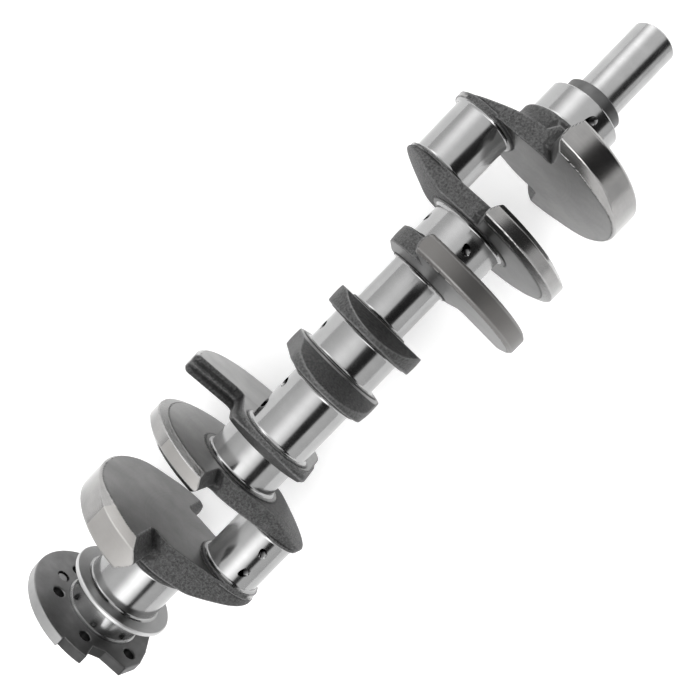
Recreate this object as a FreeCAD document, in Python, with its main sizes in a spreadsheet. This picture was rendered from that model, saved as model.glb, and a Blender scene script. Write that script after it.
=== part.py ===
"""Forged crankshaft of a V8 engine with its four crankpins a quarter turn apart.

Millimetres. X runs along the main axis from the rear face of the flywheel flange, where the
origin lies, to the front end of the snout. Crankpin 1 stands along +Y and crankpin 3 along +Z (up).
Angles about the axis are counted from +Y towards +Z.
"""
import FreeCAD, Part
import math
import os
import Sketcher

# Driving dimensions in millimetres, and angles in degrees.
SIZES = [
    ("bore_spacing", 122.94),
    ("throw_radius", 54.0),
    ("main_diameter", 69.85),
    ("main_width", 31.3),
    ("front_main_width", 27.6),
    ("rear_main_width", 40.6),
    ("pin_diameter", 55.88),
    ("pin_width", 51.0),
    ("end_web_width", 37.0),
    ("journal_fillet", 2.4),
    ("flange_width", 9.0),
    ("flange_radius", 70.0),
    ("flange_hub_radius", 56.0),
    ("flange_shoulder_radius", 66.5),
    ("flange_hub_flat", 43.0),
    ("flange_hub_foot", 52.5),
    ("flange_segment_start", 11.0),
    ("flange_segment_end", 150.0),
    ("flange_shoulder_start", -9.0),
    ("flange_hub_start", 154.0),
    ("flange_hub_end", 238.0),
    ("flange_collar_radius", 38.0),
    ("flange_collar_width", 2.0),
    ("bolt_circle", 91.0),
    ("bolt_hole_diameter", 10.6),
    ("bolt_hole_step", 60.0),
    ("dowel_diameter", 11.1),
    ("dowel_reach", 10.0),
    ("dowel_chamfer", 1.2),
    ("pilot_bore_diameter", 37.0),
    ("pilot_bore_depth", 24.0),
    ("slinger_diameter", 99.0),
    ("slinger_width", 3.9),
    ("seal_diameter", 69.0),
    ("seal_width", 24.5),
    ("gear_seat_diameter", 53.6),
    ("gear_seat_width", 12.2),
    ("snout_diameter", 40.64),
    ("snout_width", 69.4),
    ("snout_chamfer", 1.6),
    ("damper_thread_diameter", 11.1),
    ("damper_thread_depth", 38.0),
    ("keyway_width", 4.8),
    ("keyway_depth", 3.4),
    ("keyway_end", 46.0),
    ("cheek_tip", 87.0),
    ("outer_cheek_radius", 45.5),
    ("outer_tip_radius", 29.0),
    ("inner_cheek_radius", 43.4),
    ("inner_tip_radius", 37.0),
    ("plain_cheek_radius", 46.4),
    ("plain_tip_radius", 38.0),
    ("tip_width", 5.5),
    ("taper_angle", 23.0),
    ("front_tip_width", 2.0),
    ("front_taper_angle", 24.7),
    ("rear_tip_width", 10.5),
    ("rear_taper_angle", 27.5),
    ("taper_span", 130.0),
    ("back_bevel_angle", 25.0),
    ("back_bevel_start", 17.0),
    ("pin_collar_radius", 31.6),
    ("pin_collar_step", 1.2),
    ("end_pin_collar_step", 2.6),
    ("main_collar_radius", 41.0),
    ("main_collar_step", 0.9),
    ("end_main_collar_step", 7.0),
    ("outer_weight_radius", 88.5),
    ("inner_weight_radius", 95.5),
    ("oil_hole_diameter", 6.6),
    ("oil_hole_offset", 12.0),
    ("oil_pin_angle", 77.0),
    ("oil_main_angle", 98.0),
]


class Size:
    """A number together with the expression that works it out from the sheet."""

    def __init__(self, value, text=None):
        self.value = float(value)
        self.text = text or repr(float(value))

    def __add__(self, other):
        other = as_size(other)
        return Size(self.value + other.value, f"({self.text} + {other.text})")

    def __sub__(self, other):
        other = as_size(other)
        return Size(self.value - other.value, f"({self.text} - {other.text})")

    def __mul__(self, other):
        other = as_size(other)
        return Size(self.value * other.value, f"({self.text} * {other.text})")

    def __truediv__(self, other):
        other = as_size(other)
        return Size(self.value / other.value, f"({self.text} / {other.text})")

    def __neg__(self):
        return Size(-self.value, f"(-{self.text})")


def as_size(value):
    return value if isinstance(value, Size) else Size(value)


def sine(angle):
    angle = as_size(angle)
    return Size(math.sin(math.radians(angle.value)), f"sin({angle.text})")


def cosine(angle):
    angle = as_size(angle)
    return Size(math.cos(math.radians(angle.value)), f"cos({angle.text})")


def polar(radius, angle):
    """A point of a cross-section, at an angle counted from +Y towards +Z."""
    return as_size(radius) * cosine(angle), as_size(radius) * sine(angle)


def fill_sheet(document):
    """Put the driving dimensions in the sheet and return them by name."""
    sheet = document.addObject("Spreadsheet::Sheet", "sizes")
    named = {}
    for row, (alias, value) in enumerate(SIZES, start=1):
        sheet.set(f"A{row}", alias)
        sheet.set(f"B{row}", str(value))
        sheet.setAlias(f"B{row}", alias)
        named[alias] = Size(value, f"sizes.{alias}")
    document.recompute()
    return named


document = FreeCAD.newDocument("crankshaft")
size = fill_sheet(document)


def half(alias):
    return size[alias] / 2


# ---------------------------------------------------------------- sketches and features

def bind(thing, path, length):
    thing.setExpression(path, as_size(length).text)


def draw(body, name, corners, plane="XY_Plane", lift=0.0, turn=0.0):
    """Draw a closed outline whose corners are tied to the sheet.

    A corner is (x, y), or (x, y, centre_x, centre_y, radius) where a round stretch of that
    centre and radius leads to the next corner. The sketch can be lifted off its plane or turned
    about its own x axis.
    """
    sketch = body.newObject("Sketcher::SketchObject", name)
    support = [item for item in body.Origin.OriginFeatures if item.Role == plane][0]
    sketch.AttachmentSupport = [(support, "")]
    sketch.MapMode = "FlatFace"
    turned = FreeCAD.Rotation(FreeCAD.Vector(1, 0, 0), as_size(turn).value)
    sketch.AttachmentOffset = FreeCAD.Placement(FreeCAD.Vector(0, 0, as_size(lift).value), turned)
    if isinstance(lift, Size):
        bind(sketch, ".AttachmentOffset.Base.z", lift)
    points = [FreeCAD.Vector(as_size(corner[0]).value, as_size(corner[1]).value, 0) for corner in corners]
    edges = []
    for index, corner in enumerate(corners):
        first = points[index]
        last = points[(index + 1) % len(points)]
        if len(corner) == 2:
            edges.append((sketch.addGeometry(Part.LineSegment(first, last)), 1, 2))
            continue
        centre = FreeCAD.Vector(as_size(corner[2]).value, as_size(corner[3]).value, 0)
        circle = Part.Circle(centre, FreeCAD.Vector(0, 0, 1), as_size(corner[4]).value)
        start, end = circle.parameter(first), circle.parameter(last)
        if (end - start) % math.tau <= math.pi:
            edges.append((sketch.addGeometry(Part.ArcOfCircle(circle, start, end)), 1, 2))
        else:
            edges.append((sketch.addGeometry(Part.ArcOfCircle(circle, end, start)), 2, 1))
    for index, corner in enumerate(corners):
        edge, first_end, last_end = edges[index]
        following, following_end, _ = edges[(index + 1) % len(edges)]
        sketch.addConstraint(Sketcher.Constraint("Coincident", edge, last_end, following, following_end))
        for kind, length in (("DistanceX", corner[0]), ("DistanceY", corner[1])):
            value = as_size(length).value
            number = sketch.addConstraint(Sketcher.Constraint(kind, -1, 1, edge, first_end, value))
            bind(sketch, f"Constraints[{number}]", length)
        if len(corner) > 2:
            value = as_size(corner[4]).value
            number = sketch.addConstraint(Sketcher.Constraint("Radius", edge, value))
            bind(sketch, f"Constraints[{number}]", corner[4])
    return sketch


def ring(body, name, radius, centre_x=0.0, centre_y=0.0, lift=0.0):
    """Draw a full circle across the axis."""
    sketch = body.newObject("Sketcher::SketchObject", name)
    support = [item for item in body.Origin.OriginFeatures if item.Role == "YZ_Plane"][0]
    sketch.AttachmentSupport = [(support, "")]
    sketch.MapMode = "FlatFace"
    sketch.AttachmentOffset = FreeCAD.Placement(FreeCAD.Vector(0, 0, as_size(lift).value), FreeCAD.Rotation())
    if isinstance(lift, Size):
        bind(sketch, ".AttachmentOffset.Base.z", lift)
    centre = FreeCAD.Vector(as_size(centre_x).value, as_size(centre_y).value, 0)
    sketch.addGeometry(Part.Circle(centre, FreeCAD.Vector(0, 0, 1), as_size(radius).value))
    tied = (
        (Sketcher.Constraint("Radius", 0, as_size(radius).value), radius),
        (Sketcher.Constraint("DistanceX", -1, 1, 0, 3, centre.x), centre_x),
        (Sketcher.Constraint("DistanceY", -1, 1, 0, 3, centre.y), centre_y),
    )
    for constraint, length in tied:
        number = sketch.addConstraint(constraint)
        bind(sketch, f"Constraints[{number}]", length)
    return sketch


def pad(body, sketch, length):
    feature = body.newObject("PartDesign::Pad", sketch.Name + "_pad")
    feature.Profile = sketch
    bind(feature, "Length", length)
    return feature


def pocket(body, sketch, length=None):
    """Cut a sketch's outline out of the body, along +X or, with no length, through it both ways."""
    feature = body.newObject("PartDesign::Pocket", sketch.Name + "_pocket")
    feature.Profile = sketch
    if length is None:
        feature.Type = "ThroughAll"
        feature.SideType = "Symmetric"
    else:
        feature.Reversed = True
        bind(feature, "Length", length)
    return feature


def revolve(body, sketch, span=360.0):
    """Turn a sketch about the body's X axis."""
    feature = body.newObject("PartDesign::Revolution", sketch.Name + "_turned")
    feature.Profile = sketch
    feature.ReferenceAxis = (sketch, ["H_Axis"])
    bind(feature, "Angle", span)
    return feature


def turn_away(body, sketch, span):
    """Cut a sketch out of the body all along a turn about its X axis, half of it to each side."""
    feature = body.newObject("PartDesign::Groove", sketch.Name + "_groove")
    feature.Profile = sketch
    feature.ReferenceAxis = (sketch, ["H_Axis"])
    feature.Midplane = True
    bind(feature, "Angle", span)
    return feature


def new_body(label):
    return document.addObject("PartDesign::Body", label)


# ---------------------------------------------------------------- turned sections

web_width = (size["bore_spacing"] - size["main_width"] - size["pin_width"]) / 2
main_radius = half("main_diameter")
pin_radius = half("pin_diameter")
fillet = size["journal_fillet"]


def journal(label, radius, width):
    """A ground bearing journal, with a rolled fillet where it meets a web or collar."""
    body = new_body(label)
    corners = [
        (0, 0),
        (0, radius + fillet, fillet, radius + fillet, fillet),
        (fillet, radius),
        (width - fillet, radius, width - fillet, radius + fillet, fillet),
        (width, radius + fillet),
        (width, 0),
    ]
    revolve(body, draw(body, label + "_profile", corners))
    return body


def front_main_journal(label):
    """The front main journal, chamfered towards the timing gear seat."""
    body = new_body(label)
    width = size["front_main_width"]
    chamfer = size["snout_chamfer"] / 2
    corners = [
        (0, 0),
        (0, main_radius + fillet, fillet, main_radius + fillet, fillet),
        (fillet, main_radius),
        (width - chamfer, main_radius),
        (width, main_radius - chamfer),
        (width, 0),
    ]
    revolve(body, draw(body, label + "_profile", corners))
    return body


def gear_seat(label):
    body = new_body(label)
    width = size["gear_seat_width"]
    radius = half("gear_seat_diameter")
    chamfer = size["snout_chamfer"] / 2
    corners = [(0, 0), (0, radius), (width - chamfer, radius), (width, radius - chamfer), (width, 0)]
    revolve(body, draw(body, label + "_profile", corners))
    return body


def snout(label):
    """The snout, with the damper bolt's bore in its end and a keyway along its underside."""
    body = new_body(label)
    width = size["snout_width"]
    radius = half("snout_diameter")
    chamfer = size["snout_chamfer"]
    bore = half("damper_thread_diameter")
    deep = width - size["damper_thread_depth"]
    corners = [
        (0, 0),
        (0, radius),
        (width - chamfer, radius),
        (width, radius - chamfer),
        (width, bore + chamfer),
        (width - chamfer, bore),
        (deep, bore),
        (deep - bore / 2, 0),
    ]
    revolve(body, draw(body, label + "_profile", corners))
    floor = size["keyway_depth"] - radius
    flank = half("keyway_width")
    slot = [(-flank, -radius - 1), (flank, -radius - 1), (flank, floor), (-flank, floor)]
    pocket(body, draw(body, label + "_keyway", slot, plane="YZ_Plane"), size["keyway_end"])
    return body


def slinger(label):
    """The thin disc that throws oil off in front of the rear seal, with a rounded rim."""
    body = new_body(label)
    width = size["slinger_width"]
    radius = half("slinger_diameter")
    edge = width / 4
    corners = [
        (0, 0),
        (0, radius - edge),
        (edge, radius),
        (width - edge, radius),
        (width, radius - edge),
        (width, 0),
    ]
    revolve(body, draw(body, label + "_profile", corners))
    return body


def seal_journal(label):
    """The seal journal, with a raised collar against the flange and the end of the pilot bore."""
    body = new_body(label)
    width = size["seal_width"]
    radius = half("seal_diameter")
    collar = size["flange_collar_width"]
    bore = half("pilot_bore_diameter")
    deep = size["pilot_bore_depth"] - size["flange_width"]
    corners = [
        (0, bore),
        (0, size["flange_collar_radius"]),
        (collar, size["flange_collar_radius"]),
        (collar, radius),
        (width - fillet, radius, width - fillet, radius + fillet, fillet),
        (width, radius + fillet),
        (width, 0),
        (deep + bore / 4, 0),
        (deep, bore),
    ]
    revolve(body, draw(body, label + "_profile", corners))
    return body


# ---------------------------------------------------------------- flange

def flange(label):
    """The flywheel flange: a round balance segment on one side, and a lobed, faceted hub.

    Section angles are measured from +Z (crankpin 3) towards +Y.
    """
    body = new_body(label)

    def spot(radius, angle):
        return polar(radius, as_size(90) - angle)

    large = size["flange_radius"]
    shoulder = size["flange_shoulder_radius"]
    hub = size["flange_hub_radius"]
    hub_start = size["flange_hub_start"]
    hub_end = size["flange_hub_end"]
    segment_start = size["flange_segment_start"]
    flat = size["flange_hub_flat"]
    foot = size["flange_hub_foot"]
    thick = size["flange_width"]
    step = spot(shoulder, size["flange_shoulder_start"])
    corners = [
        (*spot(large, segment_start), 0, 0, large),
        spot(large, size["flange_segment_end"]),
        (*spot(hub, hub_start), 0, 0, hub),
        (*spot(hub, (hub_start + hub_end) / 2), 0, 0, hub),
        spot(hub, hub_end),
        (-foot, flat / 10),
        (-foot, flat / 2),
        (-flat, flat),
        (-flat / 2, flat),
        (step[0], flat + thick * 2 / 3),
        (*step, 0, 0, shoulder),
        spot(shoulder, segment_start),
    ]
    pad(body, draw(body, label + "_outline", corners, plane="YZ_Plane"), thick)
    pocket(body, ring(body, label + "_pilot", half("pilot_bore_diameter")), thick)
    for number in range(6):
        centre = spot(half("bolt_circle"), size["bolt_hole_step"] * number)
        hole = ring(body, f"{label}_bolt_hole_{number + 1}", half("bolt_hole_diameter"), *centre)
        pocket(body, hole, thick)
    pocket(body, ring(body, label + "_dowel_hole", half("dowel_diameter"), half("bolt_circle")), thick)
    return body


def dowel(label):
    """The pin that locates the flywheel: pressed through the flange and standing out behind it."""
    body = new_body(label)
    radius = half("dowel_diameter")
    reach = size["dowel_reach"]
    chamfer = size["dowel_chamfer"]
    sunk = size["flange_width"] - chamfer
    corners = [
        (-reach, 0),
        (-reach, radius - chamfer),
        (-reach + chamfer, radius),
        (sunk - chamfer, radius),
        (sunk, radius - chamfer),
        (sunk, 0),
    ]
    revolve(body, draw(body, label + "_profile", corners))
    bind(body, ".Placement.Base.y", half("bolt_circle"))
    return body


# ---------------------------------------------------------------- webs

class Cheek:
    """The plate that joins a main journal to a crankpin, and how its faces step down from both."""

    def __init__(self, family, width, place=""):
        self.radius = size[family + "_cheek_radius"]
        self.tip_radius = size[family + "_tip_radius"]
        self.width = width
        self.pin_step = size[place + "pin_collar_step"]
        self.main_step = size[place + "main_collar_step"]


class Counterweight:
    """A segment of a disc. Its ends lie ahead of and behind the line opposite the pin.

    A draft is how much the face falls away in radius, and a bevel how wide the sloped rim is.
    """

    def __init__(self, radius, lead, trail, pin_draft, pin_bevel, main_draft, main_bevel):
        self.radius = radius
        self.lead = lead
        self.trail = trail
        self.pin_draft = pin_draft
        self.pin_bevel = pin_bevel
        self.main_draft = main_draft
        self.main_bevel = main_bevel


class Web:
    """One crank web in its own frame: x from the pin side to the main side, throw along +Y."""

    def __init__(self, number, cheek, weight=None, place=""):
        self.label = f"web_{number}"
        self.place = place
        self.throw = THROWS[(number + 1) // 2]
        self.pin_in_front = number % 2 == 0
        self.cheek = cheek
        self.weight = weight

    def build(self):
        body = new_body(self.label)
        self.add_cheek(body)
        self.add_collars(body)
        if self.weight:
            self.add_counterweight(body)
        else:
            self.bevel_back(body)
        self.taper_tip(body)
        turned = FreeCAD.Rotation(FreeCAD.Vector(1, 0, 0), self.throw)
        if self.pin_in_front:
            turned = turned.multiply(FreeCAD.Rotation(FreeCAD.Vector(0, 1, 0), 180))
        body.Placement = FreeCAD.Placement(FreeCAD.Vector(0, 0, 0), turned)
        return body

    def add_cheek(self, body):
        """The plate itself: two round ends joined by their common tangents."""
        big = self.cheek.radius
        small = self.cheek.tip_radius
        gap = size["cheek_tip"] - small
        lean = math.degrees(math.asin((big.value - small.value) / gap.value))
        tangent = Size(lean, f"asin(({big.text} - {small.text}) / {gap.text})")
        low_y, low_z = big * sine(tangent), big * cosine(tangent)
        high_y, high_z = gap + small * sine(tangent), small * cosine(tangent)
        corners = [
            (low_y, -low_z),
            (high_y, -high_z, gap, 0, small),
            (high_y, high_z),
            (low_y, low_z, 0, 0, big),
            (-big, 0, 0, 0, big),
        ]
        outline = draw(body, self.label + "_cheek", corners, plane="YZ_Plane", lift=self.cheek.pin_step)
        pad(body, outline, self.cheek.width - self.cheek.pin_step - self.cheek.main_step)

    def add_collars(self, body):
        """The thrust collars that stand proud of the cheek round the pin and round the main."""
        overlap = 1
        pin = ring(body, self.label + "_pin_collar", size["pin_collar_radius"], size["throw_radius"])
        pad(body, pin, self.cheek.pin_step + overlap)
        base = self.cheek.width - self.cheek.main_step - overlap
        main = ring(body, self.label + "_main_collar", size["main_collar_radius"], lift=base)
        pad(body, main, self.cheek.main_step + overlap)

    def add_counterweight(self, body):
        """The disc segment, drafted on both faces, opposite the pin."""
        weight = self.weight
        start = 180.0 - (weight.trail if self.pin_in_front else weight.lead)
        inner = self.cheek.radius / 2
        near = self.cheek.pin_step
        far = self.cheek.width - self.cheek.main_step
        corners = [
            (near, inner),
            (near, weight.radius - weight.pin_draft),
            (near + weight.pin_bevel, weight.radius),
            (far - weight.main_bevel, weight.radius),
            (far, weight.radius - weight.main_draft),
            (far, inner),
        ]
        profile = draw(body, self.label + "_weight", corners, turn=start)
        revolve(body, profile, weight.lead + weight.trail)

    def taper_tip(self, body):
        """Thin the cheek towards its tip with a cone, from the main side."""
        tip = size["cheek_tip"]
        past = 5
        width = size[self.place + "tip_width"]
        angle = size[self.place + "taper_angle"]
        slope = sine(angle) / cosine(angle)
        far = self.cheek.width + 1
        foot = tip - (far - width) / slope
        top = width - slope * past
        corners = [(top, tip + past), (far, foot), (far, tip + past)]
        turn_away(body, draw(body, self.label + "_taper", corners), size["taper_span"])

    def bevel_back(self, body):
        """Slope the end opposite the pin, from the pin side, where there is no counterweight."""
        reach = self.cheek.radius + 1
        slope = sine(size["back_bevel_angle"]) / cosine(size["back_bevel_angle"])
        start = size["back_bevel_start"]
        corners = [(-1, -start + 1 / slope.value), (-1, -reach), ((reach - start) * slope, -reach)]
        pocket(body, draw(body, self.label + "_bevel", corners))


THROWS = {1: 0.0, 2: 270.0, 3: 90.0, 4: 180.0}


def lay_out_webs():
    """The eight webs by number, from the front, two to a crankpin."""
    end_cheek = Cheek("outer", size["end_web_width"], place="end_")
    outer_cheek = Cheek("outer", web_width)
    inner_cheek = Cheek("inner", web_width)
    plain_cheek = Cheek("plain", web_width)
    outer = {"radius": size["outer_weight_radius"], "lead": 95.0, "trail": 78.0}
    thick = Counterweight(**outer, pin_draft=8.0, pin_bevel=5.5, main_draft=2.5, main_bevel=2.5)
    thin = Counterweight(**outer, pin_draft=6.0, pin_bevel=4.5, main_draft=9.0, main_bevel=3.5)
    inner = Counterweight(
        radius=size["inner_weight_radius"],
        lead=18.5,
        trail=103.0,
        pin_draft=5.0,
        pin_bevel=3.0,
        main_draft=5.0,
        main_bevel=3.0,
    )
    return {
        1: Web(1, end_cheek, thick, "front_").build(),
        2: Web(2, outer_cheek, thin).build(),
        3: Web(3, inner_cheek, inner).build(),
        4: Web(4, plain_cheek).build(),
        5: Web(5, plain_cheek).build(),
        6: Web(6, inner_cheek, inner).build(),
        7: Web(7, outer_cheek, thin).build(),
        8: Web(8, end_cheek, thick, "rear_").build(),
    }


# ---------------------------------------------------------------- layout along the axis

def lay_out():
    """Build every section from the rear and stand each one against the one before it."""
    main = size["main_width"]
    pin = size["pin_width"]
    thick = size["end_web_width"]
    webs = lay_out_webs()
    sections = [
        (flange("flywheel_flange"), size["flange_width"]),
        (seal_journal("seal_journal"), size["seal_width"]),
        (slinger("oil_slinger"), size["slinger_width"]),
        (journal("main_journal_5", main_radius, size["rear_main_width"]), size["rear_main_width"]),
        (webs[8], thick),
        (journal("crankpin_4", pin_radius, pin), pin),
        (webs[7], web_width),
        (journal("main_journal_4", main_radius, main), main),
        (webs[6], web_width),
        (journal("crankpin_3", pin_radius, pin), pin),
        (webs[5], web_width),
        (journal("main_journal_3", main_radius, main), main),
        (webs[4], web_width),
        (journal("crankpin_2", pin_radius, pin), pin),
        (webs[3], web_width),
        (journal("main_journal_2", main_radius, main), main),
        (webs[2], web_width),
        (journal("crankpin_1", pin_radius, pin), pin),
        (webs[1], thick),
        (front_main_journal("main_journal_1"), size["front_main_width"]),
        (gear_seat("timing_gear_seat"), size["gear_seat_width"]),
        (snout("snout"), size["snout_width"]),
    ]
    station = Size(0.0)
    stations = {}
    for body, width in sections:
        stations[body.Name] = (station, width)
        flipped = body.Name in ("web_2", "web_4", "web_6", "web_8")
        bind(body, ".Placement.Base.x", station + width if flipped else station)
        if body.Name.startswith("crankpin"):
            throw = THROWS[int(body.Name[-1])]
            across = polar(size["throw_radius"], throw)
            bind(body, ".Placement.Base.y", across[0])
            bind(body, ".Placement.Base.z", across[1])
        station = station + width
    return [body for body, _ in sections], stations


# ---------------------------------------------------------------- oil drillings

def middle(stations, name):
    start, width = stations[name]
    return start + width / 2


def drilling(label, start, end):
    """A straight oil way between two points, run a little past both so that it breaks the surface."""
    first = FreeCAD.Vector(*[item.value for item in start])
    last = FreeCAD.Vector(*[item.value for item in end])
    run = last - first
    extra = 9.0
    tool = document.addObject("Part::Cylinder", label)
    bind(tool, "Radius", half("oil_hole_diameter"))
    squares = " + ".join(f"({b.text} - {a.text})^2" for a, b in zip(start, end))
    tool.setExpression("Height", f"sqrt({squares}) + {2 * extra}")
    beginning = first - run.normalize() * extra
    tool.Placement = FreeCAD.Placement(beginning, FreeCAD.Rotation(FreeCAD.Vector(0, 0, 1), run))
    return tool


def drill_oil_ways(stations):
    """Each pin has two oil ways, one from each of the mains beside it, and returns what they cross."""
    crossed = {}
    for pin in (1, 2, 3, 4):
        throw = THROWS[pin]
        for side, web_number, main_number in ((1, 2 * pin - 1, pin), (-1, 2 * pin, pin + 1)):
            pin_x = middle(stations, f"crankpin_{pin}") + size["oil_hole_offset"] * side
            centre = polar(size["throw_radius"], throw)
            mouth = polar(pin_radius, as_size(throw) - size["oil_pin_angle"])
            start = (pin_x, centre[0] + mouth[0], centre[1] + mouth[1])
            exit_spot = polar(main_radius, as_size(throw) + size["oil_main_angle"])
            end = (middle(stations, f"main_journal_{main_number}"), exit_spot[0], exit_spot[1])
            tool = drilling(f"oil_way_{pin}_{'front' if side > 0 else 'rear'}", start, end)
            for name in (f"crankpin_{pin}", f"web_{web_number}", f"main_journal_{main_number}"):
                crossed.setdefault(name, []).append(tool)
    return crossed


def drilled(body, tools):
    """The body with its oil ways cut out."""
    shape = body
    for number, tool in enumerate(tools, start=1):
        cut = document.addObject("Part::Cut", f"{body.Name}_drilled_{number}")
        cut.Base = shape
        cut.Tool = tool
        cut.Refine = True
        shape = cut
    return shape


# ---------------------------------------------------------------- checks and files

def check(nodes):
    for item in document.Objects:
        for bad in ("Invalid", "Error"):
            if bad in item.State:
                raise RuntimeError(f"{item.Name} is {item.State}")
    for label, node in nodes.items():
        if node.Shape.isNull() or not node.Shape.isValid():
            raise RuntimeError(f"{label} has no valid shape")
        if len(node.Shape.Solids) != 1:
            raise RuntimeError(f"{label} has {len(node.Shape.Solids)} solids")


bodies, stations = lay_out()
bodies.append(dowel("flywheel_dowel"))
document.recompute()
oil_ways = drill_oil_ways(stations)
nodes = {}
for body in bodies:
    label = body.Name
    node = drilled(body, oil_ways.get(label, []))
    if node is not body:
        body.Label = label + "_undrilled"
    node.Label = label
    nodes[label] = node
document.recompute()
check(nodes)
os.makedirs("parts", exist_ok=True)
for label, node in nodes.items():
    node.Shape.exportStep(f"parts/{label}.step")
    print(label, round(node.Shape.Volume / 1000, 2), "cm3")
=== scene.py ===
"""Looks of a forged V8 crankshaft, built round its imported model.

The frame is the model's own, in metres: X along the main axis towards the snout, crankpin 1 on the
+Y side and crankpin 3 on the +Z side. Shapes below are worked out in millimetres.
"""
import math

import bpy
import numpy as np
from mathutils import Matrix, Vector


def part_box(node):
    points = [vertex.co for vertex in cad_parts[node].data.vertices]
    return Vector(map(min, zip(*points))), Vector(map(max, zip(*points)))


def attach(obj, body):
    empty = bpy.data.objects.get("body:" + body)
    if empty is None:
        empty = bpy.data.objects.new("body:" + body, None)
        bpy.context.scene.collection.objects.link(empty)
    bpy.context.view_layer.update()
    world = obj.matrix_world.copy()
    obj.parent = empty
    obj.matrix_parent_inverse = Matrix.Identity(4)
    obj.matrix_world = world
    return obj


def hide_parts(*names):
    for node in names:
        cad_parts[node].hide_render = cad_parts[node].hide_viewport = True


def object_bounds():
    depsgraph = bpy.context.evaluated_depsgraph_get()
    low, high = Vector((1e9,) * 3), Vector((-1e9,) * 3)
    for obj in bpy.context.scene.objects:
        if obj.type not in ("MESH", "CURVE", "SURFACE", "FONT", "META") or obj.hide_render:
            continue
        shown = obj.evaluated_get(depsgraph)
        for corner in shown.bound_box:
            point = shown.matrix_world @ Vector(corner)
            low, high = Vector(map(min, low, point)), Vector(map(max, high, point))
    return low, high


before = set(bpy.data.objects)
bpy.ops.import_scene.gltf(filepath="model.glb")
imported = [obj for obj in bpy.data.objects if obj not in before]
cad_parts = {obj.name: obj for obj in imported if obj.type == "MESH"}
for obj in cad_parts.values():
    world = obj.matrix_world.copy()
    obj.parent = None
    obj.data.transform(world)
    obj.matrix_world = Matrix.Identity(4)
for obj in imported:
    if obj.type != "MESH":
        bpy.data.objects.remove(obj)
cad_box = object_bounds()

MM = 0.001

# Sizes in millimetres and angles in degrees: the journals and their oil holes.
THROW = 54.0
PIN_ANGLES = {1: 0.0, 2: 270.0, 3: 90.0, 4: 180.0}
MAIN_RADIUS = 34.925
PIN_RADIUS = 27.94
FILLET = 2.4
FRONT_CHAMFER = 0.8
OIL_HOLE = 2.9
COUNTERSINK = 1.5
OIL_OFFSET = 12.0
OIL_PIN_ANGLE = -77.0
OIL_MAIN_ANGLE = 98.0

# The front end: the snout and the gear seat.
SNOUT_RADIUS = 20.32
SNOUT_CHAMFER = 1.6
DAMPER_BORE = 5.55
DAMPER_DEPTH = 38.0
KEYWAY_WIDTH = 4.8
KEYWAY_DEPTH = 3.4
KEYWAY_END = 46.0
GEAR_SEAT_RADIUS = 26.8

# The rear end: the slinger, the seal journal, the flange and its dowel.
SLINGER_RADIUS = 49.5
SLINGER_CHAMFER = 0.9
SEAL_RADIUS = 34.5
SEAL_COLLAR_WIDTH = 2.0
SEAL_COLLAR_HEIGHT = 1.4
PILOT_BORE = 18.5
PILOT_DEPTH = 15.0
FLANGE_RADIUS = 70.0
BOLT_CIRCLE = 45.5
BOLT_COUNT = 6
BOLT_HOLE = 5.3
BOLT_CHAMFER = 0.9
DOWEL_RADIUS = 5.55
DOWEL_CHAMFER = 1.2

# The webs' cheeks.
CHEEK_TIP = 87.0
TIP_RELEASE = 16.0
TIP_RELEASE_SLOPE = 1.3
SIDE_DRAFT = 0.05
BACK_SLOPE = math.tan(math.radians(25.0))
BACK_BEVEL_START = 17.0
AS_FORGED_START = 6.0
PIN_COLLAR = 31.6
MAIN_COLLAR = 41.0
RIDGE_WIDTH = 2.6

# The webs' steel: how bright the painted highlight on its edges, how dark the painted shade in its hollows,
# how much light its surfaces throw back, how rough they are, how deep the forging's pebbles are in metres,
# and how deep a cutter's lines are beside them.
EDGE_PAINTED_HIGHLIGHT = 0.22
HOLLOW_PAINTED_SHADE = 0.75
FORGED = 0.085
TURNED = 0.27
FORGED_ROUGHNESS = 0.52
FACE_ROUGHNESS = 0.36
RIM_ROUGHNESS = 0.2
GROUND_ROUGHNESS = 0.42
PEBBLE_DEPTH = 0.0013
CUT_DEPTH = 0.012

# How finely pieces are made: sides round a turned piece, and mesh steps in millimetres.
SIDES = 180
WEB_STEP = 1.0
FLANGE_STEP = 0.8

# Room round a web's box for its mesh to close in.
CROWN_ROOM = (1.0, 7.0, 7.0)


def span(node):
    """Where a node starts and ends along the main axis, in millimetres."""
    low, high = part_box(node)
    return low.x / MM, high.x / MM


# ------------------------------------------------------------------ distances from a surface, in millimetres

def soft_and(first, second, blend):
    """What both shapes share, with the edge between them rounded."""
    mix = np.clip(0.5 + 0.5 * (first - second) / blend, 0.0, 1.0)
    return second + (first - second) * mix + blend * mix * (1.0 - mix)


def soft_or(first, second, blend):
    """Both shapes together, with a fillet in the corner between them."""
    return -soft_and(-first, -second, blend)


def ramp(value, low, high):
    """0 below low, 1 above high, and smooth between them."""
    part = np.clip((value - low) / (high - low), 0.0, 1.0)
    return part * part * (3.0 - 2.0 * part)


def two_circles(along, across, big, small, gap):
    """Distance from an outline of two circles, the small one gap away, and their common tangents."""
    across = np.abs(across)
    lean = (big - small) / gap
    rise = math.sqrt(1.0 - lean * lean)
    reach = along * rise - across * lean
    side = along * lean + across * rise - big
    round_foot = np.hypot(along, across) - big
    round_tip = np.hypot(along - gap, across) - small
    return np.where(reach < 0.0, round_foot, np.where(reach > gap * rise, round_tip, side))


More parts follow.
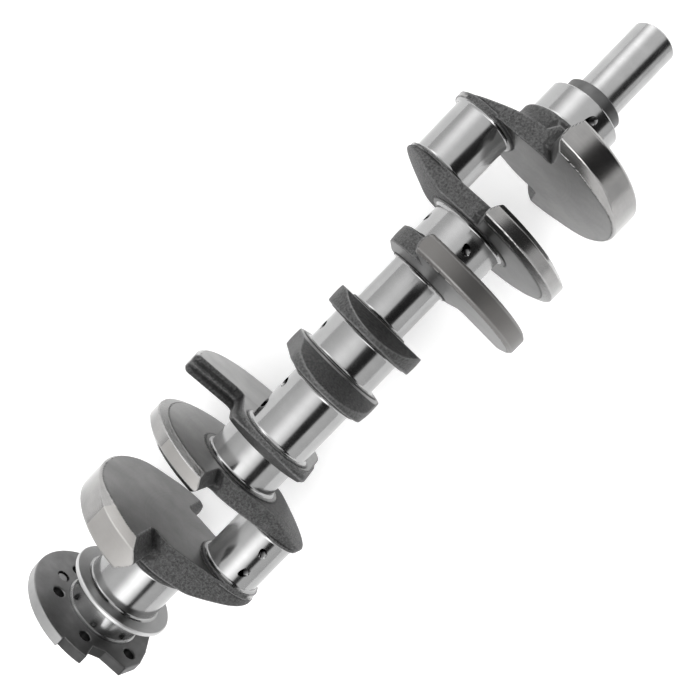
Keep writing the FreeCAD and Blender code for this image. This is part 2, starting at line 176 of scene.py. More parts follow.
def outline(first, second, corners):
    """Distance from a closed outline of straight runs."""
    nearest = np.full(np.broadcast(first, second).shape, 1e9)
    inside = np.ones(nearest.shape)
    for index, (ax, ay) in enumerate(corners):
        bx, by = corners[index - 1]
        ex, ey = bx - ax, by - ay
        wx, wy = first - ax, second - ay
        part = np.clip((wx * ex + wy * ey) / (ex * ex + ey * ey), 0.0, 1.0)
        nearest = np.minimum(nearest, (wx - ex * part) ** 2 + (wy - ey * part) ** 2)
        above = second >= ay
        below = second < by
        left = ex * wy > ey * wx
        inside = np.where((above & below & left) | ~(above | below | left), -inside, inside)
    return inside * np.sqrt(nearest)


# ------------------------------------------------------------------ from distance to mesh

EDGE_CELLS = {0: ((0, 0, 0), (0, 1, 0), (0, 1, 1), (0, 0, 1)),
              1: ((0, 0, 0), (0, 0, 1), (1, 0, 1), (1, 0, 0)),
              2: ((0, 0, 0), (1, 0, 0), (1, 1, 0), (0, 1, 0))}


def slope_of(distance, points, reach=0.12):
    """The direction in which a distance grows at each point."""
    slope = np.empty_like(points)
    for axis in range(3):
        ahead = points.copy()
        behind = points.copy()
        ahead[:, axis] += reach
        behind[:, axis] -= reach
        slope[:, axis] = (distance(*ahead.T) - distance(*behind.T)) / (2.0 * reach)
    return slope


def bend_of(distance, points, reach=0.45):
    """How sharply a surface bends at each point: above 0 on an outer edge, below 0 in a corner."""
    bend = -6.0 * distance(*points.T)
    for axis in range(3):
        for way in (reach, -reach):
            beside = points.copy()
            beside[:, axis] += way
            bend = bend + distance(*beside.T)
    return bend / reach ** 2


def skin(name, distance, low, high, step):
    """A closed mesh over a distance's zero, with its points drawn onto it and its normals true to it."""
    axes = [np.arange(a - 1.6 * step, b + 2.6 * step, step) for a, b in zip(low, high)]
    shaped = (axes[0][:, None, None], axes[1][None, :, None], axes[2][None, None, :])
    values = np.broadcast_to(distance(*shaped), [len(a) for a in axes])
    solid = values < 0.0
    cells = [len(a) - 1 for a in axes]
    count = np.zeros(cells, np.int8)
    for i in (0, 1):
        for j in (0, 1):
            for k in (0, 1):
                count += solid[i:i + cells[0], j:j + cells[1], k:k + cells[2]]
    used = (count > 0) & (count < 8)
    number = np.full(cells, -1, np.int64)
    number[used] = np.arange(int(used.sum()))
    points = np.argwhere(used).astype(float)
    for axis in range(3):
        points[:, axis] = axes[axis][0] + (points[:, axis] + 0.5) * step
    for _ in range(4):
        slope = slope_of(distance, points)
        steep = np.maximum((slope ** 2).sum(1), 0.2)
        move = slope * (distance(*points.T) / steep)[:, None]
        points -= np.clip(move, -step, step)
    faces = []
    for axis in range(3):
        ahead = [slice(None)] * 3
        behind = [slice(None)] * 3
        ahead[axis] = slice(1, None)
        behind[axis] = slice(None, -1)
        first, second = solid[tuple(behind)], solid[tuple(ahead)]
        for inner, outer, flip in ((first, second, False), (second, first, True)):
            where = np.argwhere(inner & ~outer)
            corners = [number[tuple((where - offset).T)] for offset in EDGE_CELLS[axis]]
            faces.append(np.stack(corners[::-1] if flip else corners, 1))
    faces = np.concatenate(faces)
    mesh = bpy.data.meshes.new(name)
    mesh.from_pydata(points * MM, [], faces.tolist())
    mesh.polygons.foreach_set("use_smooth", np.ones(len(mesh.polygons), bool))
    mesh.update()
    normals = slope_of(distance, points)
    normals /= np.linalg.norm(normals, axis=1)[:, None]
    mesh.normals_split_custom_set_from_vertices(normals)
    piece = bpy.data.objects.new(name, mesh)
    bpy.context.scene.collection.objects.link(piece)
    return piece, points, normals


def mark(piece, name, amounts):
    """Note how much of a finish each point of a piece has."""
    layer = piece.data.attributes.new(name, "FLOAT", "POINT")
    layer.data.foreach_set("value", np.clip(amounts, 0.0, 1.0).astype(np.float32))


def stand_for(piece, node, material):
    """Let a finished piece take a node's place."""
    piece.data.materials.clear()
    piece.data.materials.append(material)
    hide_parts(node)
    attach(piece, "root")


# ------------------------------------------------------------------ shader building

class Shader:
    """A node tree that is filled from left to right."""

    def __init__(self, tree):
        self.tree = tree
        self.column = 0

    def add(self, kind, settings=None, values=None):
        node = self.tree.nodes.new(kind)
        self.column += 1
        node.location = (self.column * 180, (self.column % 4) * -160)
        for name, value in (settings or {}).items():
            setattr(node, name, value)
        for socket, value in (values or {}).items():
            if isinstance(value, bpy.types.NodeSocket):
                self.tree.links.new(value, node.inputs[socket])
            else:
                node.inputs[socket].default_value = value
        return node

    def maths(self, operation, first, second=0.0, third=0.0):
        values = {0: first, 1: second, 2: third}
        return self.add("ShaderNodeMath", {"operation": operation}, values).outputs[0]

    def blend(self, amount, first, second):
        """A colour between two others."""
        node = self.add("ShaderNodeMix", {"data_type": "RGBA"}, {0: amount, 6: first, 7: second})
        return node.outputs[2]

    def between(self, amount, low, high):
        """A number between two others."""
        node = self.add("ShaderNodeMapRange", {"clamp": True}, {0: amount, 3: low, 4: high})
        return node.outputs[0]

    def noise(self, where, scale, detail=3.0, roughness=0.55):
        values = {"Vector": where, "Scale": scale, "Detail": detail, "Roughness": roughness}
        return self.add("ShaderNodeTexNoise", None, values).outputs["Fac"]


def new_group(name, inputs, outputs):
    """A shader group with named sockets, and its first and last nodes."""
    tree = bpy.data.node_groups.new(name, "ShaderNodeTree")
    for label, kind, value in inputs:
        socket = tree.interface.new_socket(name=label, in_out="INPUT", socket_type=kind)
        if value is not None:
            socket.default_value = value
    for label, kind in outputs:
        tree.interface.new_socket(name=label, in_out="OUTPUT", socket_type=kind)
    shader = Shader(tree)
    return tree, shader, shader.add("NodeGroupInput"), shader.add("NodeGroupOutput")


def make_tool_lines():
    """Fine uneven lines left round an axis by a lathe or grinder, and across a face by a cutter."""
    tree, shader, start, end = new_group(
        "tool lines",
        [("Position", "NodeSocketVector", None), ("Centre Y", "NodeSocketFloat", 0.0),
         ("Centre Z", "NodeSocketFloat", 0.0), ("Along", "NodeSocketFloat", 1.0),
         ("Out", "NodeSocketFloat", 0.0), ("Fineness", "NodeSocketFloat", 900.0)],
        [("Height", "NodeSocketFloat"), ("Broad", "NodeSocketFloat")],
    )
    parts = shader.add("ShaderNodeSeparateXYZ", None, {0: start.outputs["Position"]})
    across = shader.maths("SUBTRACT", parts.outputs[1], start.outputs["Centre Y"])
    upward = shader.maths("SUBTRACT", parts.outputs[2], start.outputs["Centre Z"])
    squares = shader.maths("MULTIPLY_ADD", across, across, shader.maths("MULTIPLY", upward, upward))
    out = shader.maths("MULTIPLY", shader.maths("SQRT", squares), start.outputs["Out"])
    place = shader.maths("MULTIPLY_ADD", parts.outputs[0], start.outputs["Along"], out)
    row = shader.add("ShaderNodeCombineXYZ", None, {0: place})
    fine = shader.noise(row.outputs[0], start.outputs["Fineness"], 2.0, 0.7)
    slow = shader.maths("MULTIPLY", start.outputs["Fineness"], 0.12)
    broad = shader.noise(row.outputs[0], slow, 2.0, 0.5)
    shader.tree.links.new(fine, end.inputs["Height"])
    shader.tree.links.new(broad, end.inputs["Broad"])
    return tree


def make_mottle():
    """Soft uneven patches, such as oil film and heat leave on steel."""
    tree, shader, start, end = new_group(
        "mottle",
        [("Position", "NodeSocketVector", None), ("Size", "NodeSocketFloat", 60.0)],
        [("Amount", "NodeSocketFloat")],
    )
    noise = shader.noise(start.outputs["Position"], start.outputs["Size"], 4.0, 0.6)
    spread = shader.add("ShaderNodeMapRange", None, {0: noise, 1: 0.32, 2: 0.68})
    shader.tree.links.new(spread.outputs[0], end.inputs["Amount"])
    return tree


def make_forging_skin():
    """The pebbled skin that forging dies and shot blasting leave."""
    tree, shader, start, end = new_group(
        "forging skin",
        [("Position", "NodeSocketVector", None)],
        [("Height", "NodeSocketFloat"), ("Pits", "NodeSocketFloat")],
    )
    where = start.outputs["Position"]
    coarse = shader.noise(where, 520.0, 3.0, 0.6)
    fine = shader.noise(where, 1100.0, 2.0, 0.6)
    height = shader.maths("MULTIPLY_ADD", fine, 0.35, coarse)
    pits = shader.add("ShaderNodeMapRange", None, {0: height, 1: 0.5, 2: 0.88})
    shader.tree.links.new(height, end.inputs["Height"])
    shader.tree.links.new(pits.outputs[0], end.inputs["Pits"])
    return tree


tool_lines = make_tool_lines()
mottle = make_mottle()
forging_skin = make_forging_skin()


def new_finish(name):
    """An empty material with its shader, and the place on the piece."""
    material = bpy.data.materials.new(name)
    material.use_nodes = True
    material.node_tree.nodes.clear()
    shader = Shader(material.node_tree)
    where = shader.add("ShaderNodeTexCoord").outputs["Object"]
    return material, shader, where


def close_finish(shader, colour, metal, roughness, height, bump, distance=0.0002, glow=0.0):
    """Lead a finish into its surface."""
    bent = shader.add("ShaderNodeBump", None, {"Strength": bump, "Distance": distance, "Height": height})
    values = {"Base Color": colour, "Metallic": metal, "Roughness": roughness, "Normal": bent.outputs[0],
              "Emission Color": (1.0, 1.0, 1.0, 1.0), "Emission Strength": glow}
    surface = shader.add("ShaderNodeBsdfPrincipled", None, values)
    end = shader.add("ShaderNodeOutputMaterial")
    shader.tree.links.new(surface.outputs[0], end.inputs[0])


def grey(level, warmth=0.0):
    """A grey, with a little more red than blue where it is warm."""
    return (level * (1.0 + warmth), level, level * (1.0 - warmth), 1.0)


def amount_of(shader, name):
    """How much of a finish a piece has here."""
    return shader.add("ShaderNodeAttribute", {"attribute_name": name}).outputs["Fac"]


def lines_of(shader, where, centre, along, out, fineness):
    """Tool lines round a centre, spread along the axis, outwards from it, or both."""
    values = {"Position": where, "Centre Y": centre[0], "Centre Z": centre[1], "Along": along, "Out": out,
              "Fineness": fineness}
    return shader.add("ShaderNodeGroup", {"node_tree": tool_lines}, values)


def turned_finish(name, light, dark, roughness, bump, fineness=1100.0, along=1.0, out=0.0):
    """Steel that a lathe or grinder has gone round."""
    material, shader, where = new_finish(name)
    lines = lines_of(shader, where, (0.0, 0.0), along, out, fineness)
    patches = shader.add("ShaderNodeGroup", {"node_tree": mottle}, {"Position": where, "Size": 45.0})
    film = shader.maths("MULTIPLY", patches.outputs[0], shader.between(lines.outputs["Broad"], 0.2, 1.0))
    colour = shader.blend(film, dark, light)
    colour = shader.blend(amount_of(shader, "rim"), colour, grey(0.5))
    # Painted shade: the "bore" amount darkens hole and bore walls nearly to black, and on the flange its
    # lower side and outline walls.
    colour = shader.blend(amount_of(shader, "bore"), colour, grey(0.008))
    rough = shader.between(film, roughness * 1.35, roughness * 0.85)
    close_finish(shader, colour, 1.0, rough, lines.outputs["Height"], bump, 0.00004)
    return material


def web_finish(name, pebbles, face_tone_and_shade, ground, pin_centre):
    """A web's steel: forged flanks, faces turned round the pin, a turned rim and ground balancing patches."""
    material, shader, where = new_finish(name)
    skin_marks = shader.add("ShaderNodeGroup", {"node_tree": forging_skin}, {"Position": where})
    patches = shader.add("ShaderNodeGroup", {"node_tree": mottle}, {"Position": where, "Size": 34.0})
    face_lines = lines_of(shader, where, pin_centre, 0.0, 1.0, 620.0)
    rim_lines = lines_of(shader, where, pin_centre, 1.0, 0.0, 900.0)
    is_forged = amount_of(shader, "forged")
    is_rim = amount_of(shader, "rim")
    is_ground = amount_of(shader, "ground")
    grain = shader.between(skin_marks.outputs["Pits"], 0.0, 1.0)
    skin_colour = shader.blend(grain, grey(FORGED * 0.6), grey(FORGED * 1.5))
    film = shader.between(patches.outputs[0], 0.0, 0.6)
    face_cut = shader.maths("MULTIPLY_ADD", face_lines.outputs["Height"], 0.45, film)
    # The face tone is darker on some webs, which paints shade on them.
    face_colour = shader.blend(face_cut, grey(face_tone_and_shade * 0.7), grey(face_tone_and_shade * 1.25, 0.01))
    rim_cut = shader.maths("MULTIPLY_ADD", rim_lines.outputs["Height"], 0.45, film)
    rim_colour = shader.blend(rim_cut, grey(TURNED * 0.75), grey(TURNED * 1.2, 0.02))
    ground_colour = shader.blend(rim_cut, grey(ground * 0.9, 0.035), grey(ground * 1.1, 0.025))
    colour = shader.blend(is_forged, face_colour, skin_colour)
    colour = shader.blend(is_rim, colour, rim_colour)
    colour = shader.blend(is_ground, colour, ground_colour)
    # Painted shade: hollows and corners are darkened towards a deep grey.
    colour = shader.blend(amount_of(shader, "hollow_painted_shade"), colour, grey(FORGED * 0.35))
    # Painted highlight: outer edges are lightened towards mid grey.
    colour = shader.blend(amount_of(shader, "edge"), colour, grey(0.5))
    rough = shader.between(is_forged, FACE_ROUGHNESS, FORGED_ROUGHNESS)
    rough = shader.add("ShaderNodeMix", None, {0: is_rim, 2: rough, 3: RIM_ROUGHNESS}).outputs[0]
    rough = shader.add("ShaderNodeMix", None, {0: is_ground, 2: rough, 3: GROUND_ROUGHNESS}).outputs[0]
    pebble_height = shader.maths("MULTIPLY", skin_marks.outputs["Height"], is_forged)
    pebble_height = shader.maths("MULTIPLY", pebble_height, pebbles)
    cut_height = shader.add("ShaderNodeMix", None, {0: is_rim, 2: face_lines.outputs["Height"],
                                                    3: rim_lines.outputs["Height"]}).outputs[0]
    height = shader.maths("MULTIPLY_ADD", cut_height, CUT_DEPTH, pebble_height)
    close_finish(shader, colour, 1.0, rough, height, 1.0, PEBBLE_DEPTH)
    return material


ground_journal = turned_finish("ground journal", grey(0.36), grey(0.31), 0.13, 0.06)
ground_snout = turned_finish("ground snout", grey(0.39), grey(0.31), 0.18, 0.12, 900.0)
seal_steel = turned_finish("turned seal journal", grey(0.42), grey(0.35), 0.18, 0.15, 800.0)
slinger_steel = turned_finish("turned slinger", grey(0.19), grey(0.13), 0.3, 0.3, 700.0, 1.0, 1.0)
gear_seat_steel = turned_finish("dark gear seat", grey(0.14), grey(0.09), 0.34, 0.5, 900.0)
flange_steel = turned_finish("turned flange", grey(0.23), grey(0.14), 0.36, 0.35, 420.0, 0.3, 1.0)
# The dowel's steel is darkened: painted shade, as of a dowel standing deep in a dark hole.
dowel_steel = turned_finish("hardened dowel", grey(0.3), grey(0.2), 0.3, 0.2, 1200.0, 1.0, 0.0)

# ------------------------------------------------------------------ turned sections

def make_turned_section():
    """A round section along the main axis: a line whose radius follows fillets, chamfers and a collar."""
    tree = bpy.data.node_groups.new("turned section", "GeometryNodeTree")
    named = [("Start", 0.0), ("Length", 0.03), ("Radius", 0.03), ("Centre Y", 0.0), ("Centre Z", 0.0),
             ("Rear Fillet", 0.0), ("Front Fillet", 0.0), ("Rear Chamfer", 0.0), ("Front Chamfer", 0.0),
             ("Collar Width", 0.0), ("Collar Height", 0.0), ("Spacing", 0.0005)]
    for label, value in named:
        socket = tree.interface.new_socket(name=label, in_out="INPUT", socket_type="NodeSocketFloat")
        socket.default_value = value
    sides = tree.interface.new_socket(name="Sides", in_out="INPUT", socket_type="NodeSocketInt")
    sides.default_value = SIDES
    steel = tree.interface.new_socket(name="Steel", in_out="INPUT", socket_type="NodeSocketMaterial")
    steel.default_value = None
    tree.interface.new_socket(name="Geometry", in_out="OUTPUT", socket_type="NodeSocketGeometry")
    shader = Shader(tree)
    size = shader.add("NodeGroupInput").outputs
    end = shader.add("NodeGroupOutput")
    stop = shader.maths("ADD", size["Start"], size["Length"])
    centre = {1: size["Centre Y"], 2: size["Centre Z"]}
    first = shader.add("ShaderNodeCombineXYZ", None, {0: size["Start"], **centre})
    last = shader.add("ShaderNodeCombineXYZ", None, {0: stop, **centre})
    line = shader.add("GeometryNodeCurvePrimitiveLine", None,
                      {"Start": first.outputs[0], "End": last.outputs[0]})
    dense = shader.add("GeometryNodeResampleCurve", {"mode": "LENGTH"},
                       {"Curve": line.outputs[0], "Length": size["Spacing"]})
    position = shader.add("GeometryNodeInputPosition")
    place = shader.add("ShaderNodeSeparateXYZ", None, {0: position.outputs[0]})
    from_rear = shader.maths("SUBTRACT", place.outputs[0], size["Start"])
    from_front = shader.maths("SUBTRACT", stop, place.outputs[0])

    def flare(fillet, away):
        """How much a fillet adds to the radius this far from its end."""
        left = shader.maths("MAXIMUM", shader.maths("SUBTRACT", fillet, away), 0.0)
        square = shader.maths("MULTIPLY", fillet, fillet)
        flat = shader.maths("SUBTRACT", square, shader.maths("MULTIPLY", left, left))
        return shader.maths("SUBTRACT", fillet, shader.maths("SQRT", shader.maths("MAXIMUM", flat, 0.0)))

    radius = shader.maths("ADD", size["Radius"], flare(size["Rear Fillet"], from_rear))
    radius = shader.maths("ADD", radius, flare(size["Front Fillet"], from_front))
    for chamfer, away in (("Rear Chamfer", from_rear), ("Front Chamfer", from_front)):
        left = shader.maths("MAXIMUM", shader.maths("SUBTRACT", size[chamfer], away), 0.0)
        radius = shader.maths("SUBTRACT", radius, left)
    on_collar = shader.maths("LESS_THAN", from_rear, size["Collar Width"])
    radius = shader.maths("MULTIPLY_ADD", on_collar, size["Collar Height"], radius)
    rod = shader.add("GeometryNodeSetCurveRadius", None, {"Curve": dense.outputs[0], "Radius": radius})
    circle = shader.add("GeometryNodeCurvePrimitiveCircle", None,
                        {"Resolution": size["Sides"], "Radius": 1.0})
    solid = shader.add("GeometryNodeCurveToMesh", None,
                       {"Curve": rod.outputs[0], "Profile Curve": circle.outputs[0], "Fill Caps": True})
    if "Scale" in solid.inputs:
        shader.tree.links.new(radius, solid.inputs["Scale"])
    real = shader.add("GeometryNodeRealizeInstances", None, {"Geometry": solid.outputs[0]})
    dressed = shader.add("GeometryNodeSetMaterial", None,
                         {"Geometry": real.outputs[0], "Material": size["Steel"]})
    tree.links.new(dressed.outputs[0], end.inputs[0])
    return tree


turned_section = make_turned_section()


def turn(name, steel, cutters=(), bright_rim=False, **sizes):
    """A turned section as a plain mesh, with its holes and keyway cut out."""
    piece = bpy.data.objects.new(name, bpy.data.meshes.new(name))
    bpy.context.scene.collection.objects.link(piece)
    shape = piece.modifiers.new("turned", "NODES")
    shape.node_group = turned_section
    for socket in turned_section.interface.items_tree:
        if socket.in_out != "INPUT":
            continue
        label = socket.name.lower().replace(" ", "_")
        if label == "steel":
            shape[socket.identifier] = steel
        elif label == "sides":
            shape[socket.identifier] = sizes.get(label, SIDES)
        elif label in sizes:
            shape[socket.identifier] = sizes[label] * MM
    for cutter in cutters:
        hole = piece.modifiers.new("hole", "BOOLEAN")
        hole.operation = "DIFFERENCE"
        hole.object = cutter
    ready = piece.evaluated_get(bpy.context.evaluated_depsgraph_get())
    mesh = bpy.data.meshes.new_from_object(ready)
    piece.modifiers.clear()
    piece.data = mesh
    for cutter in cutters:
        bpy.data.objects.remove(cutter)
    smooth_round(piece, sizes.get("centre_y", 0.0) * MM, sizes.get("centre_z", 0.0) * MM)
    points = np.array([point.co for point in mesh.vertices]) / MM
    out = np.hypot(points[:, 1] - sizes.get("centre_y", 0.0), points[:, 2] - sizes.get("centre_z", 0.0))
    ends = (points[:, 0] > sizes["start"] + 1.0) & (points[:, 0] < sizes["start"] + sizes["length"] - 1.0)
    # Painted shade: points below the surface, on the walls of holes and bores, are darkened.
    mark(piece, "bore", ramp(sizes.get("dark_below", sizes["radius"]) - out, 0.4, 2.2) * ends)
    if bright_rim:
        mark(piece, "rim", ramp(out - sizes["radius"], -1.2, -0.6))
    return piece


def smooth_round(piece, centre_y, centre_z):
    """Give a turned piece's wall the normals of a true surface of revolution, and keep its edges crisp."""
    mesh = piece.data
    mesh.polygons.foreach_set("use_smooth", np.ones(len(mesh.polygons), bool))
    points = np.zeros(len(mesh.vertices) * 3)
    mesh.vertices.foreach_get("co", points)
    points = points.reshape(-1, 3)
    flat = np.zeros(len(mesh.polygons) * 3)
    mesh.polygons.foreach_get("normal", flat)
    flat = flat.reshape(-1, 3)
    corner_point = np.zeros(len(mesh.loops), int)
    mesh.loops.foreach_get("vertex_index", corner_point)
    sizes = np.zeros(len(mesh.polygons), int)
    mesh.polygons.foreach_get("loop_total", sizes)
    face = np.repeat(np.arange(len(sizes)), sizes)
    out = points[corner_point] - [0.0, centre_y, centre_z]
    out[:, 0] = 0.0
    out /= np.maximum(np.linalg.norm(out, axis=1), 1e-9)[:, None]
    lean = flat[face, 0]
    true = out * np.sqrt(np.maximum(1.0 - lean ** 2, 0.0))[:, None]
    true[:, 0] = lean
    agree = (true * flat[face]).sum(1)
    normals = np.where((agree > 0.97)[:, None], true, flat[face])
    mesh.normals_split_custom_set(normals.tolist())


def oil_cutter(start, end, mouth, outward):
    """A drill's path with a countersink where it breaks the surface."""
    sides = 32
    start, end, mouth = Vector(start), Vector(end), Vector(mouth)
    along = (end - start).normalized()
    side = along.orthogonal().normalized()
    other = along.cross(side)
    reach = (mouth - start).dot(along)
    wide = OIL_HOLE + COUNTERSINK
    stations = [(reach - 16.0, OIL_HOLE), (reach - 2.0, OIL_HOLE), (reach + 2.0, wide), (reach + 9.0, wide)]
    if not outward:
        stations = [(2 * reach - at, size) for at, size in stations[::-1]]
    points = []
    for at, size in stations:
        for turn_step in range(sides):
            angle = math.tau * turn_step / sides
            spot = start + along * at + (side * math.cos(angle) + other * math.sin(angle)) * size
            points.append(spot * MM)
    return ring_cutter(points, len(stations), sides)


def ring_cutter(points, rows, sides):
    """A closed tool from rows of points, each row once round."""
    faces = [tuple(range(sides))[::-1], tuple(range((rows - 1) * sides, rows * sides))]
    for row in range(rows - 1):
        for at in range(sides):
            after = (at + 1) % sides
            base = row * sides
            faces.append((base + at, base + after, base + sides + after, base + sides + at))
    mesh = bpy.data.meshes.new("cutter")
    mesh.from_pydata(points, [], faces)
    mesh.update()
    cutter = bpy.data.objects.new("cutter", mesh)
    bpy.context.scene.collection.objects.link(cutter)
    return cutter


def polar(radius, angle):
    """A place across the axis, from its distance out and its angle from +Y towards +Z."""
    return radius * math.cos(math.radians(angle)), radius * math.sin(math.radians(angle))


def bore_cutter(stations, sides=96):
    """A tool for a bore on the main axis, from its radius at each station."""
    points = []
    for x, radius in stations:
        for step in range(sides):
            y, z = polar(radius * MM, 360.0 * step / sides)
            points.append((x * MM, y, z))
    return ring_cutter(points, len(stations), sides)


def keyway_cutter(start, end):
    """A tool for the keyway along the snout's underside."""
    outside = -SNOUT_RADIUS - 1.0
    floor = KEYWAY_DEPTH - SNOUT_RADIUS
    half_width = KEYWAY_WIDTH / 2
    corners = [(-half_width, outside), (half_width, outside), (half_width, floor), (-half_width, floor)]
    points = [(x * MM, y * MM, z * MM) for x in (start, end) for y, z in corners]
    return ring_cutter(points, 2, len(corners))


def middle(node):
    """The middle of a node along the main axis."""
    low, high = span(node)
    return (low + high) / 2


def oil_ways():
    """The cutters for each journal's oil holes, by node."""
    cutters = {}
    for pin, throw in PIN_ANGLES.items():
        for side, main in ((1, pin), (-1, pin + 1)):
            centre = polar(THROW, throw)
            on_pin = polar(PIN_RADIUS, throw + OIL_PIN_ANGLE)
            along = middle(f"crankpin_{pin}") + OIL_OFFSET * side
            start = (along, centre[0] + on_pin[0], centre[1] + on_pin[1])
            end = (middle(f"main_journal_{main}"), *polar(MAIN_RADIUS, throw + OIL_MAIN_ANGLE))
            cutters.setdefault(f"crankpin_{pin}", []).append(oil_cutter(start, end, start, False))
            cutters.setdefault(f"main_journal_{main}", []).append(oil_cutter(start, end, end, True))
    return cutters


def build_turned_sections():
    """Every round piece: journals, crankpins, snout, gear seat, slinger, seal journal and dowel."""
    drills = oil_ways()
    for number in (1, 2, 3, 4, 5):
        node = f"main_journal_{number}"
        low, high = span(node)
        front = {"front_chamfer": FRONT_CHAMFER} if number == 1 else {"front_fillet": FILLET}
        piece = turn(f"ground_main_{number}", ground_journal, drills[node], start=low, length=high - low,
                     radius=MAIN_RADIUS, rear_fillet=FILLET, **front)
        stand_for(piece, node, ground_journal)
    for number, angle in PIN_ANGLES.items():
        node = f"crankpin_{number}"
        low, high = span(node)
        centre = polar(THROW, angle)
        piece = turn(f"ground_crankpin_{number}", ground_journal, drills[node], start=low, length=high - low,
                     radius=PIN_RADIUS, centre_y=centre[0], centre_z=centre[1], rear_fillet=FILLET,
                     front_fillet=FILLET)
        stand_for(piece, node, ground_journal)
    low, high = span("snout")
    deep = high - DAMPER_DEPTH
    bolt_hole = bore_cutter([(deep - DAMPER_BORE / 2, 0.01), (deep, DAMPER_BORE),
                             (high - SNOUT_CHAMFER, DAMPER_BORE),
                             (high + 1.0, DAMPER_BORE + SNOUT_CHAMFER + 1.0)])
    cutters = [bolt_hole, keyway_cutter(low - 1.0, low + KEYWAY_END)]
    piece = turn("ground_nose", ground_snout, cutters, start=low, length=high - low, radius=SNOUT_RADIUS,
                 front_chamfer=SNOUT_CHAMFER, spacing=0.4, dark_below=DAMPER_BORE + 2.4)
    stand_for(piece, "snout", ground_snout)
    low, high = span("timing_gear_seat")
    piece = turn("turned_gear_seat", gear_seat_steel, start=low, length=high - low,
                 radius=GEAR_SEAT_RADIUS, front_chamfer=FRONT_CHAMFER, spacing=0.4)
    stand_for(piece, "timing_gear_seat", gear_seat_steel)
    low, high = span("oil_slinger")
    piece = turn("turned_slinger", slinger_steel, bright_rim=True, start=low, length=high - low,
                 radius=SLINGER_RADIUS, rear_chamfer=SLINGER_CHAMFER, front_chamfer=SLINGER_CHAMFER,
                 spacing=0.15)
    stand_for(piece, "oil_slinger", slinger_steel)
    low, high = span("seal_journal")
    deep = low + PILOT_DEPTH
    pilot = bore_cutter([(low - 1.0, PILOT_BORE), (deep, PILOT_BORE), (deep + PILOT_BORE / 4, 0.01)])
    piece = turn("turned_seal_journal", seal_steel, [pilot], start=low, length=high - low,
                 radius=SEAL_RADIUS, front_fillet=FILLET, collar_width=SEAL_COLLAR_WIDTH,
                 collar_height=SEAL_COLLAR_HEIGHT, spacing=0.25, dark_below=0.0)
    stand_for(piece, "seal_journal", seal_steel)
    low, high = span("flywheel_dowel")
    piece = turn("hardened_dowel", dowel_steel, start=low, length=high - low, radius=DOWEL_RADIUS,
                 centre_y=BOLT_CIRCLE, rear_chamfer=DOWEL_CHAMFER, front_chamfer=DOWEL_CHAMFER, spacing=0.3,
                 sides=64)
    stand_for(piece, "flywheel_dowel", dowel_steel)


# ------------------------------------------------------------------ webs

